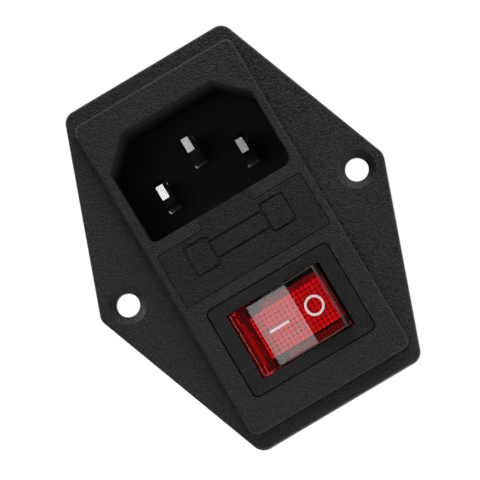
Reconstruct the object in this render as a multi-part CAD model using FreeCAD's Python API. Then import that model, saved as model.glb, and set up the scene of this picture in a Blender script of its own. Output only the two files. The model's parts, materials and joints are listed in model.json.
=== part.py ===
import FreeCAD, Part
import math
import os

# Panel-mount power entry module: screw-eared flange, earthed inlet with three blade pins, fuse drawer
# with a spare fuse, and an illuminated rocker switch that snaps in below the drawer.
# Millimetres. +X runs to the right ear, +Y goes into the panel, +Z goes up.
# The origin lies midway between the two ear holes, in the flange's back face, which sits on the panel.

# Flange, ears and the raised block in front of the sleeve that passes the panel cut-out
ear_hole_pitch = 40.0
ear_hole_bore = 3.6
ear_margin = 4.55
countersink_bore = 6.0
flange_thickness = 2.5
flange_end_margin = 2.4
flange_side_margin = 0.15
flange_corner_radius = 2.0
flange_edge_radius = 0.35
raised_step = 1.4
raised_end_margin = 3.15
raised_side_margin = 0.15
raised_corner_radius = 1.4
raised_edge_radius = 0.4
sleeve_side_wall = 1.06
sleeve_end_wall = 1.5
sleeve_inner_wall = 1.3
sleeve_rim = 1.4
sleeve_corner_radius = 1.0

# The stack of openings in the face, from the top down
stack_rise = 0.25
web_above_drawer = 2.01
web_below_drawer = 2.02

# Inlet cavity and its blade pins
cavity_width = 24.7
cavity_height = 16.9
cavity_depth = 17.0
cavity_chamfer = 4.6
cavity_corner_radius = 1.6
cavity_mouth_break = 0.2
cavity_floor = 2.5
pin_spacing = 14.0
pin_row_drop = 1.8
earth_rise = 4.0
pin_thickness = 2.0
pin_width = 4.0
pin_length = 11.5
earth_pin_length = 14.0
pin_tip_taper = 1.9
pin_tip_narrowing = 0.41
pin_tip_shortening = 0.85
pin_edge_radius = 0.3
pin_shoulder_step = 0.28
pin_shoulder_thickness = 0.6
insert_clearance = 0.02

# Rear tabs
tab_width = 4.8
tab_thickness = 0.8
tab_reach = 8.0
tab_hole_bore = 1.4
tab_hole_inset = 2.0
tab_corner_cut = 0.9

# Fuses, 5 by 20
fuse_length = 20.0
fuse_cap_diameter = 5.2
fuse_cap_length = 5.0
fuse_cap_wall = 0.18
fuse_cap_end = 0.5
fuse_cap_bevel = 0.25
fuse_glass_wall = 0.5
fuse_wire_diameter = 0.24
fuse_seat_clearance = 0.1
fuse_end_clearance = 0.25

# Fuse drawer and its compartment
drawer_side_wall = 1.86
drawer_body_inset = 0.33
drawer_height_margin = 1.835
drawer_gap = 0.1
drawer_face_thickness = 1.8
drawer_web = 0.9
cradle_lip = 0.3
tongue_width = 8.8
tongue_pry_depth = 1.3
compartment_corner_radius = 0.4
compartment_back_wall = 2.0
compartment_back_room = 1.0

# Fuse clips and the strip that links the left one to the line pin
clip_width = 4.4
clip_sheet = 0.45
clip_clearance = 0.06
clip_arm_length = 1.2
clip_lip_length = 0.8
clip_lip_angle = 22.0
clip_room = 0.35
link_sheet = 0.8
link_margin = 2.3
link_tail_width = 3.0
link_jog = 1.6
link_tail_proud = 0.9

# Pictogram engraved in the drawer's face
pictogram_width = 17.1
pictogram_box_width = 3.95
pictogram_box_height = 4.7
pictogram_bar_height = 2.8
pictogram_rise = 1.05
pictogram_line = 0.34
pictogram_depth = 0.25
pictogram_corner_radius = 0.6

# Rocker, its trunnions and its tilt to either side
rocker_tilt = 9.0
rocker_pivot_depth = 1.4
rocker_end_wall = 1.77
rocker_side_wall = 1.79
rocker_end_height = 2.5
rocker_corner_reach = 0.05
rocker_dish = 0.9
rocker_skirt = 3.4
rocker_edge_radius = 0.3
rocker_end_gap = 0.2
rocker_side_gap = 0.125
window_depth = 2.3
panel_end_wall = 0.51
panel_step = 0.4
trunnion_diameter = 1.8
trunnion_length = 0.9
trunnion_clearance = 0.05

# Switch body
bezel_end_wall = 2.5
bezel_side_wall = 2.05
bezel_thickness = 2.0
bezel_corner_radius = 0.9
bezel_edge_break = 0.15
bezel_gap = 0.1
case_end_wall = 1.5
case_side_wall = 0.95
case_corner_radius = 0.5
case_base = 1.5
well_gap = 0.15
well_wall = 3.4
snap_width = 6.0
snap_length = 3.4
snap_catch = 0.8
snap_clearance = 0.1

# Plunger and its guide inside the rocker
post_diameter = 3.0
post_length = 4.6
post_wall_gap = 0.835
plunger_diameter = 1.6
plunger_clearance = 0.05
plunger_reach = 6.6
plunger_length = 4.0
post_bore_start = 0.3
plunger_spring_wire = 0.28
plunger_spring_turns = 3.0
plunger_spring_clearance = 0.08

# Contact lever and the switch's three terminals
lever_tilt = 8.0
lever_width = 3.0
lever_sheet = 0.5
lever_end_margin = 0.7
lever_corner_radius = 0.4
lever_gap = 0.12
lever_seat_clearance = 0.05
lever_pivot_radius = 0.2
lever_pivot_neck = 0.2
contact_offset = 5.2
contact_diameter = 2.2
contact_height = 0.6
contact_dome = 0.24
contact_gap = 0.05
terminal_margin = 0.3
shelf_leg = 2.5
lamp_spring_wire = 0.22
lamp_spring_diameter = 1.4
lamp_spring_turns = 4.0
lamp_spring_gap = 0.1

# Neon lamp and series resistor in line inside the rocker
lamp_diameter = 2.6
lamp_length = 5.2
lamp_wall_gap = 0.3
lamp_post_gap = 0.335
lamp_ceiling_gap = 0.05
lamp_end_room = 0.83
lamp_link_length = 0.8
resistor_diameter = 1.6
resistor_length = 3.0
lead_diameter = 0.4
lead_stub = 0.7
lead_drop = 2.4

# Sizes that follow from the contents
lamp_row = lamp_length + lamp_link_length + resistor_length
window_width = lamp_row + 2 * (lead_stub + lamp_end_room)
window_height = post_wall_gap + post_diameter + lamp_post_gap + lamp_diameter + lamp_wall_gap
rocker_end_radius = window_width / 2 + rocker_end_wall
rocker_width = window_height + 2 * rocker_side_wall
opening_width = 2 * (rocker_end_radius + rocker_end_gap)
opening_height = rocker_width + 2 * rocker_side_gap
bezel_width = opening_width + 2 * bezel_end_wall
bezel_height = opening_height + 2 * bezel_side_wall
case_width = opening_width + 2 * case_end_wall
case_height = opening_height + 2 * case_side_wall
drawer_width = fuse_length + 2 * (fuse_end_clearance + drawer_side_wall + drawer_body_inset)
drawer_height = fuse_cap_diameter + 2 * drawer_height_margin
content_width = max(cavity_width, drawer_width + 2 * drawer_gap, bezel_width + 2 * bezel_gap)
sleeve_width = content_width + 2 * sleeve_side_wall
raised_width = sleeve_width + 2 * raised_side_margin
flange_end_width = raised_width + 2 * flange_side_margin
flange_width = ear_hole_pitch + 2 * ear_margin
stack_height = cavity_height + web_above_drawer + drawer_height + web_below_drawer + bezel_height
sleeve_height = stack_height + 2 * sleeve_end_wall
raised_height = sleeve_height + 2 * raised_end_margin
flange_height = raised_height + 2 * flange_end_margin

# Heights of the stack
cavity_top_z = stack_height / 2 + stack_rise
cavity_bottom_z = cavity_top_z - cavity_height
cavity_center_z = cavity_top_z - cavity_height / 2
pin_row_z = cavity_center_z - pin_row_drop
earth_z = pin_row_z + earth_rise
drawer_top_z = cavity_bottom_z - web_above_drawer
drawer_bottom_z = drawer_top_z - drawer_height
drawer_center_z = drawer_top_z - drawer_height / 2
switch_center_z = drawer_bottom_z - web_below_drawer - bezel_height / 2
window_floor_z = switch_center_z - window_height / 2
mechanism_z = window_floor_z + post_wall_gap + post_diameter / 2
lamp_z = window_floor_z + window_height - lamp_wall_gap - lamp_diameter / 2

# Depths, front to back
front_y = -flange_thickness - raised_step
cavity_floor_y = front_y + cavity_depth
inlet_back_y = cavity_floor_y + cavity_floor
fuse_radius = fuse_cap_diameter / 2
fuse_seat_radius = fuse_radius + fuse_seat_clearance
spare_y = front_y + drawer_face_thickness + fuse_seat_radius
active_y = spare_y + 2 * fuse_seat_radius + drawer_web
clip_radius = fuse_radius + clip_clearance
clip_back_y = active_y + clip_radius + clip_sheet
compartment_back_y = clip_back_y + compartment_back_room
fuse_back_y = compartment_back_y + compartment_back_wall
clip_center_x = fuse_length / 2 - fuse_cap_length / 2
pivot_y = front_y + rocker_pivot_depth
ceiling_y = pivot_y - rocker_end_height + window_depth
lamp_y = ceiling_y + lamp_ceiling_gap + lamp_diameter / 2
lead_end_y = lamp_y + lead_drop
lead_reach = lamp_row / 2 + lead_stub
panel_left_x = -lead_reach
panel_right_x = rocker_end_radius - panel_end_wall
pocket_y = ceiling_y + panel_step
well_back_y = front_y + bezel_thickness + well_wall
lever_axis_y = pivot_y + plunger_reach + lever_gap + lever_sheet + lever_seat_clearance
lever_drop = contact_offset * math.sin(math.radians(lever_tilt))
shelf_y = lever_axis_y + lever_drop + 2 * contact_height + contact_gap
case_base_y = shelf_y + tab_thickness + shelf_leg
switch_end_y = case_base_y + case_base
switch_tab_end_y = switch_end_y + tab_reach
terminal_row = contact_offset + contact_diameter / 2 + terminal_margin
sleeve_end_y = max(inlet_back_y, fuse_back_y, switch_end_y) + sleeve_rim
tab_end_y = sleeve_end_y + tab_reach
link_roof_z = cavity_bottom_z - web_above_drawer / 3


def vector(x, y, z):
    return FreeCAD.Vector(x, y, z)


def box(x0, x1, y0, y1, z0, z1):
    """A block between two corners."""
    return Part.makeBox(x1 - x0, y1 - y0, z1 - z0, vector(x0, y0, z0))


def plate(points, y0, y1):
    """A flat outline given as (x, z) pairs, drawn out from y0 to y1."""
    corners = [vector(x, y0, z) for x, z in points]
    outline = Part.makePolygon(corners + corners[:1])
    return Part.Face(outline).extrude(vector(0, y1 - y0, 0))


def along_y(shape):
    """The straight edges that run front to back."""
    found = []
    for edge in shape.Edges:
        if isinstance(edge.Curve, Part.Line) and abs(edge.Curve.Direction.y) > 0.999:
            found.append(edge)
    return found


def edges_at_y(shape, y):
    """The edges that lie wholly in the plane at y."""
    found = []
    for edge in shape.Edges:
        bounds = edge.BoundBox
        if abs(bounds.YMin - y) < 1e-4 and abs(bounds.YMax - y) < 1e-4:
            found.append(edge)
    return found


def rounded_block(width, height, radius, y0, y1, x=0.0, z=0.0):
    """A block centred on (x, z) whose front-to-back corners are rounded."""
    block = box(x - width / 2, x + width / 2, y0, y1, z - height / 2, z + height / 2)
    return block.makeFillet(radius, along_y(block))


def cylinder_y(radius, y0, y1, x, z):
    return Part.makeCylinder(radius, y1 - y0, vector(x, y0, z), vector(0, 1, 0))


def cylinder_x(radius, x0, x1, y, z):
    return Part.makeCylinder(radius, x1 - x0, vector(x0, y, z), vector(1, 0, 0))


def cylinder_z(radius, z0, z1, x, y):
    return Part.makeCylinder(radius, z1 - z0, vector(x, y, z0), vector(0, 0, 1))


def bent_sheet(path, sheet, width):
    """Sheet of one thickness whose centre line follows the path, drawn out by the width vector."""
    normal = vector(width.x, width.y, width.z)
    normal.normalize()
    sides = [[], []]
    for index, point in enumerate(path):
        before = (point - path[index - 1]).normalize() if index else None
        after = (path[index + 1] - point).normalize() if index + 1 < len(path) else None
        along = before or after
        if before and after:
            along = (before + after).normalize()
        across = normal.cross(along).normalize()
        stretch = sheet / 2
        if before and after:
            stretch = stretch / abs(normal.cross(before).dot(across))
        sides[0].append(point + across * stretch)
        sides[1].append(point - across * stretch)
    corners = sides[0] + sides[1][::-1]
    outline = Part.makePolygon(corners + corners[:1])
    return Part.Face(outline).extrude(width)


def wire_along(points, diameter):
    """Round wire along a path of straight runs, with a ball at each bend."""
    radius = diameter / 2
    pieces = []
    for start, end in zip(points, points[1:]):
        run = end - start
        pieces.append(Part.makeCylinder(radius, run.Length, start, run))
    for corner in points[1:-1]:
        pieces.append(Part.makeSphere(radius, corner))
    return pieces[0].fuse(pieces[1:]).removeSplitter()


def coil(length, diameter, wire, turns, start, direction):
    """A coil spring with its axis from start along direction."""
    usable = length - wire
    helix = Part.makeHelix(usable / turns, usable, (diameter - wire) / 2)
    profile = Part.Wire([Part.makeCircle(wire / 2, vector((diameter - wire) / 2, 0, 0), vector(0, 1, 0))])
    spring = Part.Wire(helix.Edges).makePipeShell([profile], True, True)
    spring.translate(vector(0, 0, wire / 2))
    turn = FreeCAD.Rotation(vector(0, 0, 1), direction)
    spring.Placement = FreeCAD.Placement(start, turn).multiply(spring.Placement)
    return spring


def about_z(shape, angle, x, y):
    """The shape turned about an upright axis through (x, y)."""
    turned = shape.copy()
    turned.rotate(vector(x, y, 0), vector(0, 0, 1), angle)
    return turned


def tab(x, z, y0, y1):
    """Blade terminal that lies in the YZ plane, with cut corners and a hole."""
    half = tab_width / 2
    outline = [
        vector(x - tab_thickness / 2, y0, z - half),
        vector(x - tab_thickness / 2, y1 - tab_corner_cut, z - half),
        vector(x - tab_thickness / 2, y1, z - half + tab_corner_cut),
        vector(x - tab_thickness / 2, y1, z + half - tab_corner_cut),
        vector(x - tab_thickness / 2, y1 - tab_corner_cut, z + half),
        vector(x - tab_thickness / 2, y0, z + half),
    ]
    blade = Part.Face(Part.makePolygon(outline + outline[:1])).extrude(vector(tab_thickness, 0, 0))
    hole_y = y1 - tab_hole_inset
    return blade.cut(cylinder_x(tab_hole_bore / 2, x - tab_thickness, x + tab_thickness, hole_y, z))


def flange_points():
    """The six corners before rounding, so that the rounded ears end at the flange's width."""
    rise = flange_height / 2
    end = flange_end_width / 2
    reach = flange_width / 2
    lean = math.atan2(reach - end, rise)
    tip = reach + flange_corner_radius * (1 / math.cos(lean) - 1)
    return [(-end, rise), (end, rise), (tip, 0), (end, -rise), (-end, -rise), (-tip, 0)]


def cavity_points(grow=0.0):
    """The inlet's outline with its two cut upper corners."""
    side = cavity_width / 2 + grow
    top = cavity_top_z + grow
    bottom = cavity_bottom_z - grow
    cut = cavity_chamfer + grow * (2 - math.sqrt(2))
    return [(-side, bottom), (side, bottom), (side, top - cut), (side - cut, top), (-side + cut, top), (-side, top - cut)]


def cavity_tool():
    """The space inside the inlet, with rounded lower corners and a broken mouth edge."""
    space = plate(cavity_points(), front_y - 1, cavity_floor_y)
    lower = [edge for edge in along_y(space) if edge.BoundBox.ZMax < cavity_bottom_z + 0.01]
    space = space.makeFillet(cavity_corner_radius, lower)
    mouth = Part.makeLoft([
        outline_wire(cavity_points(cavity_mouth_break), front_y),
        outline_wire(cavity_points(0), front_y + cavity_mouth_break),
    ], True, True)
    return space.fuse(mouth.common(rounded_mouth()))


def outline_wire(points, y):
    corners = [vector(x, y, z) for x, z in points]
    return Part.makePolygon(corners + corners[:1])


def rounded_mouth():
    """Keeps the broken edge off the rounded lower corners' outsides."""
    grow = cavity_mouth_break
    block = box(
        -cavity_width / 2 - grow, cavity_width / 2 + grow, front_y - 1, front_y + 2,
        cavity_bottom_z - grow, cavity_top_z + grow,
    )
    lower = [edge for edge in along_y(block) if edge.BoundBox.ZMax < cavity_bottom_z]
    return block.makeFillet(cavity_corner_radius + grow, lower)


def make_housing():
    flange = plate(flange_points(), -flange_thickness, 0)
    flange = flange.makeFillet(flange_corner_radius, along_y(flange))
    flange = flange.makeFillet(flange_edge_radius, edges_at_y(flange, -flange_thickness))
    raised = rounded_block(raised_width, raised_height, raised_corner_radius, front_y, -flange_thickness / 2)
    raised = raised.makeFillet(raised_edge_radius, edges_at_y(raised, front_y))
    sleeve = rounded_block(sleeve_width, sleeve_height, sleeve_corner_radius, -flange_thickness / 2, sleeve_end_y)
    body = flange.fuse([raised, sleeve])

    inner = sleeve_width / 2 - sleeve_inner_wall
    inner_top = sleeve_height / 2 - sleeve_inner_wall
    partition_z = drawer_bottom_z - drawer_gap - web_below_drawer
    back = sleeve_end_y + 1
    cuts = [cavity_tool()]
    cuts.append(box(-inner, inner, inlet_back_y, back, link_roof_z, inner_top))
    cuts.append(box(-inner, inner, fuse_back_y, back, partition_z, link_roof_z))
    cuts.append(box(-inner, inner, well_back_y, back, -inner_top, partition_z))

    cuts.append(rounded_block(
        drawer_width + 2 * drawer_gap, drawer_height + 2 * drawer_gap, compartment_corner_radius,
        front_y - 1, compartment_back_y, 0, drawer_center_z,
    ))
    slot_half = tongue_width / 2 + drawer_gap
    slot_depth = drawer_face_thickness + tongue_pry_depth
    cuts.append(box(-slot_half, slot_half, front_y - 1, front_y + slot_depth, drawer_center_z, cavity_center_z))

    cuts.append(rounded_block(
        bezel_width + 2 * bezel_gap, bezel_height + 2 * bezel_gap, bezel_corner_radius + bezel_gap,
        front_y - 1, front_y + bezel_thickness, 0, switch_center_z,
    ))
    cuts.append(rounded_block(
        case_width + 2 * well_gap, case_height + 2 * well_gap, case_corner_radius,
        front_y, well_back_y + 1, 0, switch_center_z,
    ))

    for side in (-1, 1):
        x = side * ear_hole_pitch / 2
        depth = (countersink_bore - ear_hole_bore) / 2
        cuts.append(cylinder_y(ear_hole_bore / 2, -flange_thickness - 1, 1, x, 0))
        cuts.append(Part.makeCone(
            countersink_bore / 2, ear_hole_bore / 2, depth, vector(x, -flange_thickness, 0), vector(0, 1, 0),
        ))
    cuts += pin_slots()
    cuts += clip_slots()
    return body.cut(cuts).removeSplitter()


def pin_slots():
    """The slots in the inlet's floor that the blade pins' tails pass."""
    grow = insert_clearance
    slots = []
    for x, z in ((-pin_spacing / 2, pin_row_z), (pin_spacing / 2, pin_row_z), (0, earth_z)):
        slots.append(box(
            x - pin_thickness / 2 - grow, x + pin_thickness / 2 + grow,
            cavity_floor_y - 1, inlet_back_y + 1,
            z - pin_width / 2 - grow, z + pin_width / 2 + grow,
        ))
    return slots


def clip_slots():
    """The slots behind the fuse clips for the link tail and for the fused tab."""
    grow = insert_clearance
    left = box(
        -clip_center_x - link_tail_width / 2 - grow, -clip_center_x + link_tail_width / 2 + grow,
        compartment_back_y - 1, fuse_back_y + 1,
        drawer_center_z - clip_sheet / 2 - grow, drawer_center_z + clip_sheet / 2 + grow,
    )
    right = box(
        clip_center_x - tab_width / 2 - grow, clip_center_x + tab_width / 2 + grow,
        compartment_back_y - 1, fuse_back_y + 1,
        drawer_center_z - tab_thickness / 2 - grow, drawer_center_z + tab_thickness / 2 + grow,
    )
    return [left, right]


def blade(x, z, length):
    """A blade pin from the inlet's floor forward, with tapered tip, rounded edges and a shoulder."""
    base_y = cavity_floor_y
    taper_y = base_y - length + pin_tip_taper
    shank = rounded_block(pin_thickness, pin_width, pin_edge_radius, taper_y, inlet_back_y, x, z)
    tip = Part.makeLoft([
        rounded_outline(pin_thickness, pin_width, pin_edge_radius, taper_y, x, z),
        rounded_outline(
            pin_thickness - 2 * pin_tip_narrowing, pin_width - 2 * pin_tip_shortening, pin_edge_radius / 2,
            base_y - length, x, z,
        ),
    ], True, True)
    shoulder = box(
        x - pin_thickness / 2, x + pin_thickness / 2, base_y - pin_shoulder_thickness, base_y,
        z - pin_width / 2 - pin_shoulder_step, z + pin_width / 2 + pin_shoulder_step,
    )
    return shank.fuse([tip, shoulder])


def rounded_outline(width, height, radius, y, x, z):
    """A rounded rectangle as a wire in the plane at y."""
    block = rounded_block(width, height, radius, y, y + 1, x, z)
    face = [face for face in block.Faces if abs(face.BoundBox.YMax - y) < 1e-6][0]
    return face.OuterWire


def make_line_pin():
    x = -pin_spacing / 2
    tail = box(
        x - tab_thickness / 2, x + tab_thickness / 2, inlet_back_y, inlet_back_y + link_sheet + link_tail_proud,
        pin_row_z - link_tail_width / 2, pin_row_z + link_tail_width / 2,
    )
    return blade(x, pin_row_z, pin_length).fuse(tail).removeSplitter()


def make_tabbed_pin(x, z, length):
    return blade(x, z, length).fuse(tab(x, z, inlet_back_y, tab_end_y)).removeSplitter()


def make_link_strip():
    """The strip behind the housing that joins the line pin's tail to the left fuse clip's tail."""
    left = min(-pin_spacing / 2, -clip_center_x) - link_margin
    right = max(-pin_spacing / 2, -clip_center_x) + link_margin
    upper_y = inlet_back_y + insert_clearance + link_sheet / 2
    lower_y = fuse_back_y + insert_clearance + link_sheet / 2
    jog_top = link_roof_z - link_sheet / 2 - insert_clearance
    if lower_y > upper_y:
        jog_top = link_roof_z + link_jog + link_sheet / 2 + insert_clearance
    path = [
        vector(left, upper_y, pin_row_z + pin_width / 2 + pin_shoulder_step),
        vector(left, upper_y, jog_top),
        vector(left, lower_y, jog_top - link_jog),
        vector(left, lower_y, drawer_center_z - link_tail_width / 2),
    ]
    body = bent_sheet(path, link_sheet, vector(right - left, 0, 0))
    grow = insert_clearance
    pin_x = -pin_spacing / 2
    upper_slot = box(
        pin_x - tab_thickness / 2 - grow, pin_x + tab_thickness / 2 + grow, upper_y - 2, upper_y + 2,
        pin_row_z - link_tail_width / 2 - grow, pin_row_z + link_tail_width / 2 + grow,
    )
    lower_slot = box(
        -clip_center_x - link_tail_width / 2 - grow, -clip_center_x + link_tail_width / 2 + grow,
        lower_y - 2, lower_y + 2,
        drawer_center_z - clip_sheet / 2 - grow, drawer_center_z + clip_sheet / 2 + grow,
    )
    return body.cut([upper_slot, lower_slot])


def clip_spring(x):
    """A spring clip bent round the fuse's end cap, open to the front, with flared lips."""
    half = clip_width / 2
    outer = clip_radius + clip_sheet
    round_back = cylinder_x(outer, x - half, x + half, active_y, drawer_center_z)
    round_back = round_back.common(box(
        x - half, x + half, active_y, active_y + outer + 1, drawer_center_z - outer, drawer_center_z + outer,
    ))
    parts = [round_back]
    lean = math.radians(clip_lip_angle)
    for side in (-1, 1):
        z = drawer_center_z + side * (clip_radius + clip_sheet / 2)
        path = [
            vector(x - half, active_y, z),
            vector(x - half, active_y - clip_arm_length, z),
            vector(
                x - half, active_y - clip_arm_length - clip_lip_length * math.cos(lean),
                z + side * clip_lip_length * math.sin(lean),
            ),
        ]
        parts.append(bent_sheet(path, clip_sheet, vector(clip_width, 0, 0)))
    body = parts[0].fuse(parts[1:])
    return body.cut(cylinder_x(clip_radius, x - clip_width, x + clip_width, active_y, drawer_center_z))


def make_left_clip():
    x = -clip_center_x
    tail = box(
        x - link_tail_width / 2, x + link_tail_width / 2,
        clip_back_y - clip_sheet / 2, fuse_back_y + link_sheet + link_tail_proud,
        drawer_center_z - clip_sheet / 2, drawer_center_z + clip_sheet / 2,
    )
    return clip_spring(x).fuse(tail).removeSplitter()


def make_right_clip():
    x = clip_center_x
    outlet = tab(0, 0, clip_back_y - clip_sheet / 2, tab_end_y)
    outlet.rotate(vector(0, 0, 0), vector(0, 1, 0), 90)
    outlet.translate(vector(x, 0, drawer_center_z))
    return clip_spring(x).fuse(outlet).removeSplitter()


def ring_frame(width, height, x, z):
    """An engraved rounded outline of one line's width."""
    outer = rounded_block(
        width + pictogram_line, height + pictogram_line, pictogram_corner_radius,
        front_y - 1, front_y + pictogram_depth, x, z,
    )
    inner = rounded_block(
        width - pictogram_line, height - pictogram_line, pictogram_corner_radius - pictogram_line / 2,
        front_y - 2, front_y + 2, x, z,
    )
    return outer.cut(inner)


def pictogram_cuts():
    """The fuse sign: two end caps joined by a bar."""
    z = drawer_center_z + pictogram_rise
    box_x = pictogram_width / 2 - pictogram_box_width / 2
    bar_half = box_x - pictogram_box_width / 2 - pictogram_line / 2
    cuts = [
        ring_frame(pictogram_box_width, pictogram_box_height, -box_x, z),
        ring_frame(pictogram_box_width, pictogram_box_height, box_x, z),
    ]
    for side in (-1, 1):
        line_z = z + side * pictogram_bar_height / 2
        cuts.append(box(
            -bar_half - pictogram_line, bar_half + pictogram_line, front_y - 1, front_y + pictogram_depth,
            line_z - pictogram_line / 2, line_z + pictogram_line / 2,
        ))
    return cuts


def make_fuse_drawer():
    face = rounded_block(
        drawer_width, drawer_height, compartment_corner_radius,
        front_y, front_y + drawer_face_thickness, 0, drawer_center_z,
    )
    tongue = box(
        -tongue_width / 2, tongue_width / 2, front_y, front_y + drawer_face_thickness,
        drawer_center_z, cavity_bottom_z,
    )
    inset = drawer_body_inset
    wall_end_y = active_y + fuse_radius
    carriage = box(
        -drawer_width / 2 + inset, drawer_width / 2 - inset,
        front_y + drawer_face_thickness / 2, wall_end_y,
        drawer_bottom_z + inset, drawer_top_z - inset,
    )
    body = face.fuse([tongue, carriage])

    room = fuse_length / 2 + fuse_end_clearance
    clip_inner = clip_center_x - clip_width / 2 - clip_room
    mouth_half = fuse_radius - cradle_lip
    cuts = [
        cylinder_x(fuse_seat_radius, -room, room, spare_y, drawer_center_z),
        box(
            -room, room, spare_y - fuse_seat_radius, spare_y + fuse_seat_radius,
            drawer_bottom_z - 1, drawer_center_z,
        ),
        cylinder_x(fuse_seat_radius, -room, room, active_y, drawer_center_z),
        box(-room, room, active_y, wall_end_y + 1, drawer_center_z - mouth_half, drawer_center_z + mouth_half),
    ]
    for side in (-1, 1):
        near = min(side * clip_inner, side * room)
        far = max(side * clip_inner, side * room)
        cuts.append(box(
            near, far, active_y - fuse_seat_radius, wall_end_y + 1, drawer_bottom_z - 1, drawer_top_z + 1,
        ))
    return body.cut(cuts + pictogram_cuts()).removeSplitter()


def make_fuse_glass(y):
    radius = fuse_radius - fuse_cap_wall - insert_clearance
    reach = fuse_length / 2 - fuse_cap_end
    tube = cylinder_x(radius, -reach, reach, y, drawer_center_z)
    return tube.cut(cylinder_x(radius - fuse_glass_wall, -reach - 1, reach + 1, y, drawer_center_z))


def make_fuse_cap(y, side):
    """A cup pressed over the glass, turned from one profile."""
    end = side * fuse_length / 2
    lip = side * (fuse_length / 2 - fuse_cap_length)
    floor = side * (fuse_length / 2 - fuse_cap_end)
    inner = fuse_radius - fuse_cap_wall
    profile = [
        vector(end, y, drawer_center_z),
        vector(end, y + fuse_radius - fuse_cap_bevel, drawer_center_z),
        vector(end - side * fuse_cap_bevel, y + fuse_radius, drawer_center_z),
        vector(lip, y + fuse_radius, drawer_center_z),
        vector(lip, y + inner, drawer_center_z),
        vector(floor, y + inner, drawer_center_z),
        vector(floor, y, drawer_center_z),
    ]
    section = Part.Face(Part.makePolygon(profile + profile[:1]))
    return section.revolve(vector(0, y, drawer_center_z), vector(1, 0, 0), 360)


def make_fuse_wire(y):
    reach = fuse_length / 2 - fuse_cap_end
    return cylinder_x(fuse_wire_diameter / 2, -reach, reach, y, drawer_center_z)


def make_switch_body():
    z = switch_center_z
    bezel = rounded_block(bezel_width, bezel_height, bezel_corner_radius, front_y, front_y + bezel_thickness, 0, z)
    bezel = bezel.makeChamfer(bezel_edge_break, edges_at_y(bezel, front_y))
    case_start = front_y + bezel_thickness / 2
    case = rounded_block(case_width, case_height, case_corner_radius, case_start, switch_end_y, 0, z)
    body = bezel.fuse(case)
    start = well_back_y + snap_clearance
    root = case_end_wall / 4
    for side in (-1, 1):
        edge = side * case_width / 2
        profile = [
            vector(edge - side * root, start, z - snap_width / 2),
            vector(edge + side * snap_catch, start, z - snap_width / 2),
            vector(edge, start + snap_length, z - snap_width / 2),
            vector(edge - side * root, start + snap_length, z - snap_width / 2),
        ]
        snap = Part.Face(Part.makePolygon(profile + profile[:1])).extrude(vector(0, 0, snap_width))
        body = body.fuse(snap)
    half = opening_width / 2
    rise = opening_height / 2
    cuts = [box(-half, half, front_y - 1, case_base_y, z - rise, z + rise)]
    hole = trunnion_diameter / 2 + trunnion_clearance
    reach = rocker_width / 2 + trunnion_length + trunnion_clearance
    cuts.append(cylinder_z(hole, z - reach, z + reach, 0, pivot_y))
    grow = insert_clearance
    for x in (-terminal_row, 0, terminal_row):
        cuts.append(box(
            x - tab_thickness / 2 - grow, x + tab_thickness / 2 + grow, case_base_y - 1, switch_end_y + 1,
            z - tab_width / 2 - grow, z + tab_width / 2 + grow,
        ))
    return body.cut(cuts).removeSplitter()


def rocker_section():
    """The rocker seen from above: dished top, ends rounded about the pivot, flat skirt."""
    tilt = math.radians(rocker_tilt)
    radius = rocker_end_radius
    reach = (radius + rocker_corner_reach - rocker_end_height * math.sin(tilt)) / math.cos(tilt)
    top = pivot_y - rocker_end_height
    skirt = pivot_y + rocker_skirt
    skirt_x = math.sqrt(radius ** 2 - rocker_skirt ** 2)
    shoulder = 0.7 * rocker_end_height
    shoulder_x = math.sqrt(radius ** 2 - shoulder ** 2)
    left_top = vector(-reach, top, 0)
    right_top = vector(reach, top, 0)
    left_shoulder = vector(-shoulder_x, pivot_y - shoulder, 0)
    right_shoulder = vector(shoulder_x, pivot_y - shoulder, 0)
    left_skirt = vector(-skirt_x, skirt, 0)
    right_skirt = vector(skirt_x, skirt, 0)
    edges = [
        Part.Arc(left_top, vector(0, top + rocker_dish, 0), right_top).toShape(),
        Part.LineSegment(right_top, right_shoulder).toShape(),
        Part.Arc(right_shoulder, vector(radius, pivot_y, 0), right_skirt).toShape(),
        Part.LineSegment(right_skirt, left_skirt).toShape(),
        Part.Arc(left_skirt, vector(-radius, pivot_y, 0), left_shoulder).toShape(),
        Part.LineSegment(left_shoulder, left_top).toShape(),
    ]
    return Part.Face(Part.Wire(edges))


def rocker_rim(body):
    """The edges round the rocker's dished top."""
    top = pivot_y - rocker_end_height
    rim = []
    for edge in body.Edges:
        bounds = edge.BoundBox
        if bounds.YMin > top + 0.01 or bounds.YMax > top + rocker_dish + 0.01:
            continue
        dished = bounds.ZLength < 0.01 and bounds.XLength > rocker_end_radius
        end = bounds.XLength < 0.01 and bounds.ZLength > rocker_width / 2
        if dished or end:
            rim.append(edge)
    return rim


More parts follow.
